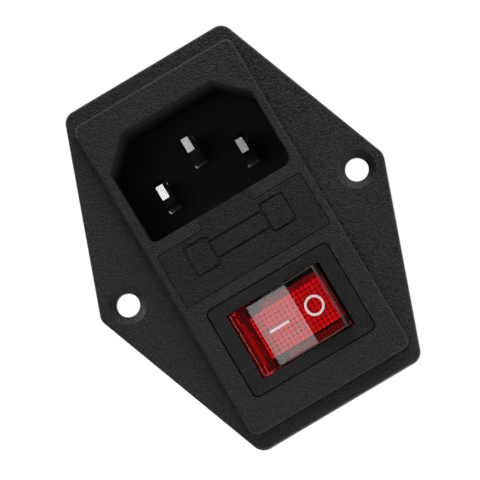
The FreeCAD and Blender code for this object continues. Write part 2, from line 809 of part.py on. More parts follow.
def make_rocker():
    z = switch_center_z
    half = rocker_width / 2
    body = rocker_section().extrude(vector(0, 0, rocker_width))
    body.translate(vector(0, 0, z - half))
    body = body.makeFillet(rocker_edge_radius, rocker_rim(body))
    pocket = box(
        -window_width / 2, window_width / 2, pocket_y, pivot_y + rocker_skirt + 1,
        window_floor_z, window_floor_z + window_height,
    )
    stud_panel = box(
        panel_left_x, panel_right_x, ceiling_y, pocket_y,
        window_floor_z, window_floor_z + window_height,
    )
    body = body.cut(pocket).cut(stud_panel)
    root = rocker_side_wall / 3
    post = cylinder_y(post_diameter / 2, ceiling_y, pivot_y + post_length, 0, mechanism_z)
    lower_pin = cylinder_z(trunnion_diameter / 2, z - half - trunnion_length, z - half + root, 0, pivot_y)
    upper_pin = cylinder_z(trunnion_diameter / 2, z + half - root, z + half + trunnion_length, 0, pivot_y)
    body = body.fuse([post, lower_pin, upper_pin])
    bore = cylinder_y(
        plunger_diameter / 2 + plunger_clearance, pivot_y + post_bore_start, pivot_y + post_length + 1,
        0, mechanism_z,
    )
    return body.cut(bore).removeSplitter()


def make_plunger():
    """The pin with a round nose that slides in the rocker's post."""
    radius = plunger_diameter / 2
    nose_y = pivot_y + plunger_reach
    shank = cylinder_y(radius, nose_y - plunger_length, nose_y - radius, 0, mechanism_z)
    return shank.fuse(Part.makeSphere(radius, vector(0, nose_y - radius, mechanism_z))).removeSplitter()


def make_plunger_spring():
    start = pivot_y + post_bore_start
    end = pivot_y + plunger_reach - plunger_length
    diameter = plunger_diameter - 2 * plunger_spring_clearance
    return coil(
        end - start, diameter, plunger_spring_wire, plunger_spring_turns,
        vector(0, start, mechanism_z), vector(0, 1, 0),
    )


def make_neon_lamp():
    """A glass bulb with rounded ends."""
    radius = lamp_diameter / 2
    tube = cylinder_x(radius, -lamp_row / 2, -lamp_row / 2 + lamp_length, lamp_y, lamp_z)
    ends = [edge for edge in tube.Edges if isinstance(edge.Curve, Part.Circle)]
    return tube.makeFillet(0.45 * radius, ends)


def make_resistor():
    body = cylinder_x(resistor_diameter / 2, lamp_row / 2 - resistor_length, lamp_row / 2, lamp_y, lamp_z)
    ends = [edge for edge in body.Edges if isinstance(edge.Curve, Part.Circle)]
    return body.makeFillet(0.25 * resistor_diameter, ends)


def make_lamp_lead(side):
    """A lead out of the lamp or the resistor, bent down to its contact spring."""
    points = [
        vector(side * lamp_row / 2, lamp_y, lamp_z),
        vector(side * lead_reach, lamp_y, lamp_z),
        vector(side * lead_reach, lead_end_y, lamp_z),
    ]
    return wire_along(points, lead_diameter)


def make_lamp_link():
    start = -lamp_row / 2 + lamp_length
    return cylinder_x(lead_diameter / 2, start, start + lamp_link_length, lamp_y, lamp_z)


def turned_point(x, y, angle):
    """Where a point in the rocker lies once the rocker is turned about its pivot."""
    turn = math.radians(angle)
    dx = x * math.cos(turn) - (y - pivot_y) * math.sin(turn)
    dy = x * math.sin(turn) + (y - pivot_y) * math.cos(turn)
    return dx, pivot_y + dy


def make_lamp_spring(side):
    """The small coil between a terminal's shelf and the end of a lamp lead."""
    x, y = turned_point(side * lead_reach, lead_end_y, -rocker_tilt)
    length = shelf_y - y - lamp_spring_gap
    return coil(
        length, lamp_spring_diameter, lamp_spring_wire, lamp_spring_turns,
        vector(x, shelf_y, lamp_z), vector(0, -1, 0),
    )


def make_lever():
    """The see-saw strip, with a coined groove that rides on the common terminal's round edge."""
    half = contact_offset + lever_end_margin
    z0 = mechanism_z - lever_width / 2
    seat = lever_axis_y - lever_seat_clearance
    body = box(-half, half, seat - lever_sheet, seat, z0, z0 + lever_width)
    body = body.makeFillet(lever_corner_radius, along_y(body))
    groove_radius = lever_pivot_radius + lever_seat_clearance
    body = body.cut(cylinder_z(groove_radius, z0 - 1, z0 + lever_width + 1, 0, lever_axis_y))
    return about_z(body, lever_tilt, 0, lever_axis_y)


def dome_contact(x, y, direction):
    """A round contact whose face swells towards its partner, standing on y."""
    radius = contact_diameter / 2
    rim = contact_height - contact_dome
    ball = (radius ** 2 + contact_dome ** 2) / (2 * contact_dome)
    drop = ball - math.sqrt(ball ** 2 - radius ** 2 / 4)
    profile = [
        vector(0, 0, 0),
        vector(radius, 0, 0),
        vector(radius, rim, 0),
    ]
    dome = Part.Arc(profile[2], vector(radius / 2, contact_height - drop, 0), vector(0, contact_height, 0))
    edges = [
        Part.LineSegment(profile[0], profile[1]).toShape(),
        Part.LineSegment(profile[1], profile[2]).toShape(),
        dome.toShape(),
        Part.LineSegment(vector(0, contact_height, 0), profile[0]).toShape(),
    ]
    body = Part.Face(Part.Wire(edges)).revolve(vector(0, 0, 0), vector(0, 1, 0), 360)
    if direction < 0:
        body.rotate(vector(0, 0, 0), vector(1, 0, 0), 180)
    body.translate(vector(x, y, mechanism_z))
    return body


def make_lever_contact():
    body = dome_contact(contact_offset, lever_axis_y - lever_seat_clearance, 1)
    return about_z(body, lever_tilt, 0, lever_axis_y)


def make_load_contact():
    x = contact_offset * math.cos(math.radians(lever_tilt))
    return dome_contact(x, shelf_y, -1)


def make_common_terminal():
    """A blade whose inner end narrows to the round edge that carries the lever."""
    z = switch_center_z
    bottom_z = z - tab_width / 2
    half = tab_thickness / 2
    nose = lever_pivot_radius
    neck_y = lever_axis_y + lever_pivot_neck
    shoulder_y = neck_y + half - nose
    sides = [
        vector(nose, lever_axis_y, bottom_z),
        vector(nose, neck_y, bottom_z),
        vector(half, shoulder_y, bottom_z),
        vector(-half, shoulder_y, bottom_z),
        vector(-nose, neck_y, bottom_z),
        vector(-nose, lever_axis_y, bottom_z),
    ]
    tip = Part.Arc(sides[-1], vector(0, lever_axis_y - nose, bottom_z), sides[0])
    outline = Part.Wire(Part.makePolygon(sides).Edges + [tip.toShape()])
    edge = Part.Face(outline).extrude(vector(0, 0, tab_width))
    post = box(-half, half, shoulder_y, switch_end_y, bottom_z, bottom_z + tab_width)
    return post.fuse([edge, tab(0, z, switch_end_y, switch_tab_end_y)]).removeSplitter()


def make_shelf_terminal(side):
    """A blade bent over inside the switch as a shelf below one end of the lever."""
    z = switch_center_z
    row = side * terminal_row
    inner = contact_offset - contact_diameter / 2 - terminal_margin
    outer = terminal_row + tab_thickness / 2
    x0, x1 = sorted((side * inner, side * outer))
    shelf = box(x0, x1, shelf_y, shelf_y + tab_thickness, z - tab_width / 2, z + tab_width / 2)
    post = box(
        row - tab_thickness / 2, row + tab_thickness / 2, shelf_y, switch_end_y,
        z - tab_width / 2, z + tab_width / 2,
    )
    return shelf.fuse([post, tab(row, z, switch_end_y, switch_tab_end_y)]).removeSplitter()


def tilted(shape):
    """A piece of the rocker turned to the modelled pose, left side pressed."""
    return about_z(shape, -rocker_tilt, 0, pivot_y)


nodes = {
    "housing": make_housing(),
    "line_pin": make_line_pin(),
    "neutral_pin": make_tabbed_pin(pin_spacing / 2, pin_row_z, pin_length),
    "earth_pin": make_tabbed_pin(0, earth_z, earth_pin_length),
    "line_link_strip": make_link_strip(),
    "fuse_clip_left": make_left_clip(),
    "fuse_clip_right": make_right_clip(),
    "fuse_drawer": make_fuse_drawer(),
    "fuse_glass": make_fuse_glass(active_y),
    "fuse_cap_left": make_fuse_cap(active_y, -1),
    "fuse_cap_right": make_fuse_cap(active_y, 1),
    "fuse_wire": make_fuse_wire(active_y),
    "spare_fuse_glass": make_fuse_glass(spare_y),
    "spare_fuse_cap_left": make_fuse_cap(spare_y, -1),
    "spare_fuse_cap_right": make_fuse_cap(spare_y, 1),
    "spare_fuse_wire": make_fuse_wire(spare_y),
    "switch_body": make_switch_body(),
    "rocker": tilted(make_rocker()),
    "plunger": tilted(make_plunger()),
    "plunger_spring": tilted(make_plunger_spring()),
    "neon_lamp": tilted(make_neon_lamp()),
    "lamp_link": tilted(make_lamp_link()),
    "lamp_resistor": tilted(make_resistor()),
    "lamp_lead_left": tilted(make_lamp_lead(-1)),
    "lamp_lead_right": tilted(make_lamp_lead(1)),
    "lamp_spring_left": make_lamp_spring(-1),
    "lamp_spring_right": make_lamp_spring(1),
    "contact_lever": make_lever(),
    "lever_contact": make_lever_contact(),
    "common_terminal": make_common_terminal(),
    "load_terminal": make_shelf_terminal(1),
    "load_contact": make_load_contact(),
    "lamp_terminal": make_shelf_terminal(-1),
}

os.makedirs("parts", exist_ok=True)
for name, shape in nodes.items():
    shape.exportStep("parts/" + name + ".step")
    bounds = shape.BoundBox
    print(
        f"{name}: {len(shape.Solids)} solid, {shape.Volume:.2f} mm3,"
        f" X {bounds.XMin:.2f} to {bounds.XMax:.2f},"
        f" Y {bounds.YMin:.2f} to {bounds.YMax:.2f},"
        f" Z {bounds.ZMin:.2f} to {bounds.ZMax:.2f}, valid {shape.isValid()}"
    )
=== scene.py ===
"""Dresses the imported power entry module: finishes, lens studs, rocker marks, lamp parts, studio and camera.

Metres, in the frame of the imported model: +X to the right ear, +Y into the panel, +Z up.
"""

import json
import logging
import math
from collections.abc import Mapping, Sequence
from dataclasses import dataclass, field
from enum import Enum
from typing import Any

import bmesh
import bpy
from mathutils import Matrix, Vector


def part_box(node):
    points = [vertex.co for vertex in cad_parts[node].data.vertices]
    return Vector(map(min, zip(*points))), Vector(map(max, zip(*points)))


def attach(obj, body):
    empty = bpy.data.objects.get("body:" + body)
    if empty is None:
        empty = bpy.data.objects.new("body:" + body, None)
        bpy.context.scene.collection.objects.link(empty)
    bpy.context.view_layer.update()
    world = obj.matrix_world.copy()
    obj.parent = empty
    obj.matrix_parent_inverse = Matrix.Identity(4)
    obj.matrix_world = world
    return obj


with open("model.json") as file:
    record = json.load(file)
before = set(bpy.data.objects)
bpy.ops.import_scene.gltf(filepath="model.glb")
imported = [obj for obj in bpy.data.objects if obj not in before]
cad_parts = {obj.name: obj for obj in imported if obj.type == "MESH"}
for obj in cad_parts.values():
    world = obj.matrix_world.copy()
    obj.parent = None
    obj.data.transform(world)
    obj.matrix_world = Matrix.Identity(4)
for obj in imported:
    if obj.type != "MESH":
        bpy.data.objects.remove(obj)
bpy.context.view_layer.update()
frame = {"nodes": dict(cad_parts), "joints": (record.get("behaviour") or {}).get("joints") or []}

log = logging.getLogger("power_entry_module")

MM = 0.001
Triple = tuple[float, float, float]
Colour = Triple
Span = tuple[float, float]
WHITE = (1.0, 1.0, 1.0, 1.0)


def shaded(colour: Colour, share: float) -> Colour:
    """The colour times a share."""
    return tuple(share * part for part in colour)


class Side(Enum):
    """The two sides of the module, with the sign of their x."""

    LEFT = -1
    RIGHT = 1


class Plating(Enum):
    """Bare and plated metals, each as colour and roughness."""

    NICKEL = ((0.80, 0.79, 0.76), 0.24)
    TIN = ((0.74, 0.72, 0.66), 0.30)
    BRASS = ((0.78, 0.56, 0.25), 0.28)
    SILVER = ((0.88, 0.88, 0.87), 0.20)
    STEEL = ((0.62, 0.62, 0.63), 0.26)


class Signal:
    """A value socket that can be written into sums, differences, products and quotients."""

    def __init__(self, sheet: "NodeSheet", socket: bpy.types.NodeSocket) -> None:
        """Keeps the sheet that holds the socket's node."""
        self.sheet = sheet
        self.socket = socket

    def apply(self, operation: str, *values: Any) -> "Signal":
        """Adds one Math node.

        Args:
            operation: The operation's name.
            *values: The node's values, numbers or signals.

        Returns:
            The node's result.
        """
        made = self.sheet.make("ShaderNodeMath", {"operation": operation}, dict(enumerate(values)))
        return Signal(self.sheet, made.outputs[0])

    def __add__(self, other: Any) -> "Signal":
        """self + other."""
        return self.apply("ADD", self, other)

    def __radd__(self, other: Any) -> "Signal":
        """other + self."""
        return self.apply("ADD", other, self)

    def __sub__(self, other: Any) -> "Signal":
        """self - other."""
        return self.apply("SUBTRACT", self, other)

    def __rsub__(self, other: Any) -> "Signal":
        """other - self."""
        return self.apply("SUBTRACT", other, self)

    def __mul__(self, other: Any) -> "Signal":
        """self * other."""
        return self.apply("MULTIPLY", self, other)

    def __rmul__(self, other: Any) -> "Signal":
        """other * self."""
        return self.apply("MULTIPLY", other, self)

    def __truediv__(self, other: Any) -> "Signal":
        """self / other."""
        return self.apply("DIVIDE", self, other)

    def __rtruediv__(self, other: Any) -> "Signal":
        """other / self."""
        return self.apply("DIVIDE", other, self)

    def __abs__(self) -> "Signal":
        """The value without its sign."""
        return self.apply("ABSOLUTE", self)

    def at_least(self, other: Any) -> "Signal":
        """The larger of the two."""
        return self.apply("MAXIMUM", self, other)

    def above(self, level: Any) -> "Signal":
        """1 where the value is above the level, else 0."""
        return self.apply("GREATER_THAN", self, level)

    def ramp(self, low: float, high: float) -> "Signal":
        """0 at low, 1 at high, and smooth in between."""
        settings = {"interpolation_type": "SMOOTHSTEP", "clamp": True}
        values = {"Value": self, "From Min": low, "From Max": high}
        made = self.sheet.make("ShaderNodeMapRange", settings, values)
        return Signal(self.sheet, made.outputs["Result"])


class NodeSheet:
    """A node tree, with one method that makes any node in it."""

    def __init__(self, tree: bpy.types.NodeTree) -> None:
        """Empties the tree."""
        self.tree = tree
        tree.nodes.clear()

    def make(
        self,
        kind: str,
        settings: Mapping[str, Any] | None = None,
        values: Mapping[str | int, Any] | None = None,
    ) -> bpy.types.Node:
        """Makes a node.

        Args:
            kind: The node's type.
            settings: Its properties, set first; "stops" gives a colour ramp its positions and colours.
            values: A number, colour, signal or socket for each input, by name or place.

        Returns:
            The new node.
        """
        made = self.tree.nodes.new(kind)
        for name, value in (settings or {}).items():
            if name == "stops":
                self.set_stops(made.color_ramp, value)
            else:
                setattr(made, name, value)
        for name, value in (values or {}).items():
            if isinstance(value, Signal):
                value = value.socket
            if isinstance(value, bpy.types.NodeSocket):
                self.tree.links.new(value, made.inputs[name])
            else:
                made.inputs[name].default_value = value
        return made

    def set_stops(self, ramp: bpy.types.ColorRamp, stops: Sequence[tuple[float, Colour]]) -> None:
        """Gives a colour ramp its stops."""
        while len(ramp.elements) < len(stops):
            ramp.elements.new(0.5)
        for element, (place, colour) in zip(ramp.elements, stops):
            element.position = place
            element.color = (*colour, 1.0)

    def noise(self, place: bpy.types.NodeSocket, scale: float, detail: float = 2.0) -> Signal:
        """Fine noise between 0 and 1 round a point in space, with its scale per metre."""
        made = self.make("ShaderNodeTexNoise", {}, {"Vector": place, "Scale": scale, "Detail": detail})
        return Signal(self, made.outputs[0])

    def mix_colour(self, factor: Any, first: Any, second: Any) -> bpy.types.NodeSocket:
        """A colour between two colours."""
        named = [(*c, 1.0) if isinstance(c, tuple) and len(c) == 3 else c for c in (first, second)]
        made = self.make("ShaderNodeMix", {"data_type": "RGBA"}, {0: factor, 6: named[0], 7: named[1]})
        return made.outputs[2]

    def bump(self, height: Signal, strength: float, distance: float) -> bpy.types.NodeSocket:
        """A surface normal shaken by a height."""
        made = self.make("ShaderNodeBump", {}, {"Height": height, "Strength": strength, "Distance": distance})
        return made.outputs["Normal"]

    def object_place(self) -> bpy.types.NodeSocket:
        """The point's own coordinates, in metres."""
        return self.make("ShaderNodeTexCoord").outputs["Object"]

    def inside(self, place: bpy.types.NodeSocket, low: Triple, high: Triple) -> Signal:
        """1 for points inside a box, with its corners in metres, and 0 outside."""
        axes = self.make("ShaderNodeSeparateXYZ", {}, {0: place}).outputs
        held = Signal(self, axes[0]).above(low[0]) * (1.0 - Signal(self, axes[0]).above(high[0]))
        for axis in (1, 2):
            along = Signal(self, axes[axis])
            held = held * along.above(low[axis]) * (1.0 - along.above(high[axis]))
        return held

    def stretched(self, place: bpy.types.NodeSocket, scale: Triple) -> bpy.types.NodeSocket:
        """The coordinates scaled by a different amount along each axis."""
        return self.make("ShaderNodeMapping", {}, {"Vector": place, "Scale": scale}).outputs[0]


@dataclass(frozen=True)
class Finish:
    """What every finish shares: a name, and a shader that its own class fills in."""

    name: str

    def material(self) -> bpy.types.Material:
        """The finish's material, made on first use.

        Returns:
            The material of this name.
        """
        known = bpy.data.materials.get(self.name)
        if known is not None:
            return known
        made = bpy.data.materials.new(self.name)
        made.use_nodes = True
        sheet = NodeSheet(made.node_tree)
        shader = self.shade(sheet)
        sheet.make("ShaderNodeOutputMaterial", {}, {"Surface": shader.outputs[0]})
        return made

    def shade(self, sheet: NodeSheet) -> bpy.types.Node:
        """The shader node; each kind of finish has its own."""
        raise NotImplementedError


@dataclass(frozen=True)
class SparkErodedPlastic(Finish):
    """Moulded plastic with the fine pitted texture of a spark-eroded tool.

    Inside the deep box, the inlet's recess, it takes one matt tone, more roughness and no grain: painted shade for
    the recess.
    """

    colour: Colour = (0.0026, 0.0026, 0.0028)
    grain: float = 3400.0
    depth: float = 0.11 * MM
    roughness: float = 0.42
    sheen: float = 0.36
    deep: tuple[Triple, Triple] | None = None
    pit_span: Span = (0.38, 0.64)
    speck_scale: float = 2.3
    speck_span: Span = (0.56, 0.72)
    pale_gain: float = 5.5
    pale_share: float = 0.45
    cloud_scale: float = 90.0
    cloud_span: Span = (0.45, 0.8)
    dust: Colour = (0.05, 0.05, 0.052)
    dust_share: float = 0.06
    shade_box_tone: Colour = (0.0150, 0.0150, 0.0153)
    shade_box_roughness: float = 0.84
    bump: float = 0.55

    def shade(self, sheet: NodeSheet) -> bpy.types.Node:
        """Pits in two sizes lift and darken the colour a little and shake the normal."""
        place = sheet.object_place()
        pits = sheet.noise(place, self.grain, 3.0)
        specks = sheet.noise(place, self.grain * self.speck_scale, 1.0).ramp(*self.speck_span)
        clouds = sheet.noise(place, self.cloud_scale, 3.0)
        height = pits.ramp(*self.pit_span)
        lifted = height * self.pale_share + specks * self.pale_share
        ground = sheet.mix_colour(lifted, self.colour, shaded(self.colour, self.pale_gain))
        dusted = sheet.mix_colour(clouds.ramp(*self.cloud_span) * self.dust_share, ground, self.dust)
        rough = self.roughness + (clouds - 0.5) * 0.10 + (height - 0.5) * 0.08
        # Painted shade: inside the inlet's recess the grain gives way to one matt tone.
        if self.deep is not None:
            inside = sheet.inside(place, *self.deep)
            outside = 1.0 - inside
            dusted = sheet.mix_colour(inside, dusted, self.shade_box_tone)
            rough = rough * outside + inside * (self.shade_box_roughness + clouds * 0.08)
            height = height * outside
        return sheet.make("ShaderNodeBsdfPrincipled", {}, {
            "Base Color": dusted,
            "Roughness": rough,
            "Specular IOR Level": self.sheen,
            "Normal": sheet.bump(height, self.bump, self.depth),
        })


@dataclass(frozen=True)
class ClearResin(Finish):
    """Polished clear resin of the rocker, with painted shade at its right end and a painted glow at its left end.

    The run is measured along the rocker, from its pivot. Painted shade darkens the right end, and in
    the left end a painted glow stands for the light that scatters in it.
    """

    pivot_y: float
    tilt: float
    colour: Colour = (0.80, 0.006, 0.012)
    roughness: float = 0.03
    index: float = 1.49
    flow_scale: float = 420.0
    flow_stretch: Triple = (1.0, 1.0, 0.35)
    deep_share: float = 0.55
    right_start: float = 7.05 * MM
    right_blend: float = 0.2 * MM
    right_painted_shade: Colour = (0.05, 0.001, 0.0015)
    left_start: float = -5.3 * MM
    left_blend: float = 0.3 * MM
    left_painted_glow: Colour = (0.024, 0.0002, 0.0003)

    def shade(self, sheet: NodeSheet) -> bpy.types.Node:
        """Almost no roughness, with faint flow marks, painted shade in the right end and a weak painted glow in
        the thick left end.
        """
        place = sheet.object_place()
        axes = sheet.make("ShaderNodeSeparateXYZ", {}, {0: place}).outputs
        depth = Signal(sheet, axes[1]) - self.pivot_y
        run = Signal(sheet, axes[0]) * math.cos(self.tilt) + depth * math.sin(self.tilt)
        flow = sheet.noise(sheet.stretched(place, self.flow_stretch), self.flow_scale, 2.0)
        deep = shaded(self.colour, self.deep_share)
        clear = sheet.mix_colour(flow.ramp(0.3, 0.75) * 0.35, self.colour, deep)
        # Painted shade: the right end's colour darkens towards a deep red.
        right_shade_mask = run.ramp(self.right_start, self.right_start + self.right_blend)
        # Painted glow: emission in the left end stands for light scattered in the resin.
        left_glow_mask = 1.0 - run.ramp(self.left_start - self.left_blend, self.left_start)
        glow = sheet.mix_colour(left_glow_mask * (0.75 + flow * 0.5), (0.0, 0.0, 0.0), self.left_painted_glow)
        return sheet.make("ShaderNodeBsdfPrincipled", {}, {
            "Base Color": sheet.mix_colour(right_shade_mask, clear, self.right_painted_shade),
            "Roughness": self.roughness + flow * 0.02,
            "IOR": self.index,
            "Transmission Weight": 1.0,
            "Emission Color": glow,
            "Emission Strength": 1.0,
            "Normal": sheet.bump(flow, 0.04, 0.02 * MM),
        })


@dataclass(frozen=True)
class LensStuds(Finish):
    """The bright red studs that scatter light under the rocker's top."""

    colour: Colour = (0.92, 0.042, 0.038)
    glow: float = 0.60
    roughness: float = 0.22
    fleck_scale: float = 2600.0
    dark_share: float = 0.8

    def shade(self, sheet: NodeSheet) -> bpy.types.Node:
        """Bright red, with a weak glow that stands for light scattered in the resin."""
        place = sheet.object_place()
        flecks = sheet.noise(place, self.fleck_scale, 2.0)
        darker = shaded(self.colour, self.dark_share)
        colour = sheet.mix_colour(flecks.ramp(0.35, 0.7), self.colour, darker)
        return sheet.make("ShaderNodeBsdfPrincipled", {}, {
            "Base Color": colour,
            "Roughness": self.roughness + flecks * 0.1,
            "Emission Color": colour,
            "Emission Strength": self.glow,
            "Normal": sheet.bump(flecks, 0.15, 0.02 * MM),
        })


@dataclass(frozen=True)
class Metal(Finish):
    """Plated or bare metal with fine drawing marks along one axis."""

    plating: Plating = Plating.NICKEL
    along: Triple = (1.0, 0.06, 1.0)
    gloss: float = 0.0
    painted_shade_depths: Span | None = None
    mark_scale: float = 9000.0
    patch_scale: float = 500.0
    dull_share: float = 0.72
    painted_root_shade: Colour = (0.10, 0.10, 0.10)
    painted_shade_share: float = 0.85
    painted_shade_blend: float = 1.0 * MM

    def shade(self, sheet: NodeSheet) -> bpy.types.Node:
        """Long scratches and soft patches change the colour and the roughness.

        Between the two given depths, painted shade darkens the metal where it lies deep in the inlet.
        """
        colour, rough = self.plating.value
        place = sheet.object_place()
        marks = sheet.noise(sheet.stretched(place, self.along), self.mark_scale, 2.0)
        patches = sheet.noise(place, self.patch_scale, 3.0)
        dull = shaded(colour, self.dull_share)
        tone = sheet.mix_colour(patches.ramp(0.4, 0.75) * 0.5 + marks * 0.25, colour, dull)
        # Painted shade: the metal darkens deep in the inlet, near the pins' roots.
        if self.painted_shade_depths is not None:
            front, back = self.painted_shade_depths
            depth = Signal(sheet, sheet.make("ShaderNodeSeparateXYZ", {}, {0: place}).outputs[1])
            painted_root_shade = depth.ramp(front, front + self.painted_shade_blend) * (1.0 - depth.above(back))
            tone = sheet.mix_colour(painted_root_shade * self.painted_shade_share, tone, self.painted_root_shade)
        return sheet.make("ShaderNodeBsdfPrincipled", {}, {
            "Base Color": tone,
            "Metallic": 1.0,
            "Roughness": rough - self.gloss + (marks - 0.5) * 0.10 + patches * 0.06,
            "Normal": sheet.bump(marks, 0.12, 0.01 * MM),
        })


@dataclass(frozen=True)
class FuseGlass(Finish):
    """Clear soda glass of the fuse tubes and the lamp."""

    tint: Colour = (0.93, 0.97, 0.95)
    line_tint: Colour = (0.86, 0.93, 0.90)
    line_scale: float = 5000.0
    line_stretch: Triple = (0.05, 1.0, 1.0)
    index: float = 1.5
    clearness: float = 0.92

    def shade(self, sheet: NodeSheet) -> bpy.types.Node:
        """Clear, with faint draw lines along the tube."""
        place = sheet.object_place()
        lines = sheet.noise(sheet.stretched(place, self.line_stretch), self.line_scale, 1.0)
        return sheet.make("ShaderNodeBsdfPrincipled", {}, {
            "Base Color": sheet.mix_colour(lines * 0.3, self.tint, self.line_tint),
            "Roughness": 0.02 + lines * 0.03,
            "IOR": self.index,
            "Transmission Weight": self.clearness,
            "Normal": sheet.bump(lines, 0.05, 0.01 * MM),
        })


@dataclass(frozen=True)
class MarkPaint(Finish):
    """White printing ink on the rocker."""

    colour: Colour = (0.70, 0.62, 0.63)
    thin_colour: Colour = (0.62, 0.53, 0.54)
    patch_scale: float = 3000.0

    def shade(self, sheet: NodeSheet) -> bpy.types.Node:
        """White, a little uneven."""
        patches = sheet.noise(sheet.object_place(), self.patch_scale, 2.0)
        return sheet.make("ShaderNodeBsdfPrincipled", {}, {
            "Base Color": sheet.mix_colour(patches.ramp(0.4, 0.8) * 0.4, self.colour, self.thin_colour),
            "Roughness": 0.38 + patches * 0.15,
            "Normal": sheet.bump(patches, 0.1, 0.01 * MM),
        })


@dataclass(frozen=True)
class BandedCeramic(Finish):
    """A resistor's lacquered body with its colour bands."""

    start: float
    tilt: float
    length: float = 3.0 * MM
    lacquer: Colour = (0.56, 0.43, 0.27)
    brown: Colour = (0.20, 0.06, 0.02)
    black: Colour = (0.02, 0.02, 0.02)
    yellow: Colour = (0.60, 0.42, 0.02)
    gold: Colour = (0.55, 0.36, 0.10)
    grime: Colour = (0.3, 0.22, 0.14)
    speck_scale: float = 2500.0

    def shade(self, sheet: NodeSheet) -> bpy.types.Node:
        """Bands across the body's own length, over buff lacquer."""
        axes = sheet.make("ShaderNodeSeparateXYZ", {}, {0: sheet.object_place()}).outputs
        across = Signal(sheet, axes[1]) * math.sin(self.tilt)
        share = (Signal(sheet, axes[0]) * math.cos(self.tilt) + across - self.start) / self.length
        bands = (
            (0.20, 0.30, self.brown), (0.38, 0.48, self.black), (0.56, 0.66, self.yellow), (0.80, 0.88, self.gold),
        )
        stops = [(0.0, self.lacquer)]
        for first, last, colour in bands:
            stops += [(first, colour), (last, self.lacquer)]
        ramp = sheet.make("ShaderNodeValToRGB", {"stops": stops}, {0: share})
        ramp.color_ramp.interpolation = "CONSTANT"
        specks = sheet.noise(sheet.object_place(), self.speck_scale, 2.0)
        return sheet.make("ShaderNodeBsdfPrincipled", {}, {
            "Base Color": sheet.mix_colour(specks.ramp(0.5, 0.8) * 0.15, ramp.outputs[0], self.grime),
            "Roughness": 0.32 + specks * 0.1,
            "Normal": sheet.bump(specks, 0.1, 0.01 * MM),
        })


# The inlet's recess, where the black moulding takes painted shade.
INLET_SHADE_BOX = ((-12.4 * MM, -3.88 * MM, 5.7 * MM), (12.4 * MM, 16.0 * MM, 22.7 * MM))
BLACK = SparkErodedPlastic("black_moulding", deep=INLET_SHADE_BOX)
DRAWER_BLACK = SparkErodedPlastic("drawer_moulding", (0.0014, 0.0014, 0.0015), roughness=0.39, sheen=0.31)
SWITCH_BLACK = SparkErodedPlastic(
    "switch_moulding", (0.0013, 0.0013, 0.0014), grain=4000.0, depth=0.08 * MM, roughness=0.36, sheen=0.33,
)
STUD_RED = LensStuds("stud_red")
PANEL_RED = LensStuds("panel_red", (0.13, 0.005, 0.005), glow=0.30)
NICKEL = Metal("nickel_plate", Plating.NICKEL)
# The pins take painted shade between these depths, near their roots deep in the inlet.
PIN_NICKEL = Metal("pin_nickel", Plating.NICKEL, gloss=0.09, painted_shade_depths=(9.6 * MM, 15.0 * MM))
CAP_NICKEL = Metal("fuse_cap_nickel", Plating.NICKEL, (0.06, 1.0, 1.0))
TIN = Metal("tinned_bronze", Plating.TIN, (1.0, 0.08, 1.0))
BRASS = Metal("brass_strip", Plating.BRASS, (1.0, 1.0, 0.06))
SILVER = Metal("contact_silver_alloy", Plating.SILVER, (1.0, 1.0, 1.0))
STEEL = Metal("spring_wire", Plating.STEEL, (1.0, 1.0, 1.0))
GLASS = FuseGlass("fuse_glass_clear")
INK = MarkPaint("mark_ink")


def dress(node: str, finish: Finish) -> None:
    """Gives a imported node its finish."""
    node_object = frame["nodes"][node]
    node_object.data.materials.clear()
    node_object.data.materials.append(finish.material())
    log.info("dressed %s in %s", node, finish.name)


def add_piece(name: str, mesh: bpy.types.Mesh, finish: Finish, body: str) -> bpy.types.Object:
    """Links a finished mesh as a piece of the module.

    Args:
        name: The piece's name.
        mesh: Its mesh, already in place.
        finish: Its finish.
        body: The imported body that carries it.

    Returns:
        The new object.
    """
    piece = bpy.data.objects.new(name, mesh)
    bpy.context.scene.collection.objects.link(piece)
    mesh.materials.clear()
    mesh.materials.append(finish.material())
    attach(piece, body)
    log.info("piece %s: %d faces, rides on %s", name, len(mesh.polygons), body)
    return piece


def mesh_from(name: str, built: bmesh.types.BMesh, smooth: bool) -> bpy.types.Mesh:
    """Turns a finished bmesh into a mesh with its faces outward."""
    bmesh.ops.remove_doubles(built, verts=built.verts, dist=1e-7)
    bmesh.ops.recalc_face_normals(built, faces=built.faces)
    mesh = bpy.data.meshes.new(name)
    built.to_mesh(mesh)
    built.free()
    for face in mesh.polygons:
        face.use_smooth = smooth
    return mesh


@dataclass
class InletAndHousing:
    """The moulded housing with its three blade pins."""

    housing: str = "housing"
    pins: Sequence[str] = ("line_pin", "neutral_pin", "earth_pin")

    def build(self) -> None:
        """Dresses the moulding and the pins."""
        dress(self.housing, BLACK)
        for pin in self.pins:
            dress(pin, PIN_NICKEL)
        log.info("housing and inlet ready")


@dataclass
class FuseDrawer:
    """The drawer, the fuse in use, the spare one and the clips that grip the first."""

    glasses: Sequence[str] = ("fuse_glass", "spare_fuse_glass")
    caps: Sequence[str] = ("fuse_cap_left", "fuse_cap_right", "spare_fuse_cap_left", "spare_fuse_cap_right")
    wires: Sequence[str] = ("fuse_wire", "spare_fuse_wire")
    clips: Sequence[str] = ("fuse_clip_left", "fuse_clip_right")

    def build(self) -> None:
        """Dresses the drawer's pieces."""
        dress("fuse_drawer", DRAWER_BLACK)
        sets = ((self.glasses, GLASS), (self.caps, CAP_NICKEL), (self.wires, STEEL), (self.clips, TIN))
        for names, finish in sets:
            for name in names:
                dress(name, finish)
        dress("line_link_strip", BRASS)
        log.info("fuse drawer ready")


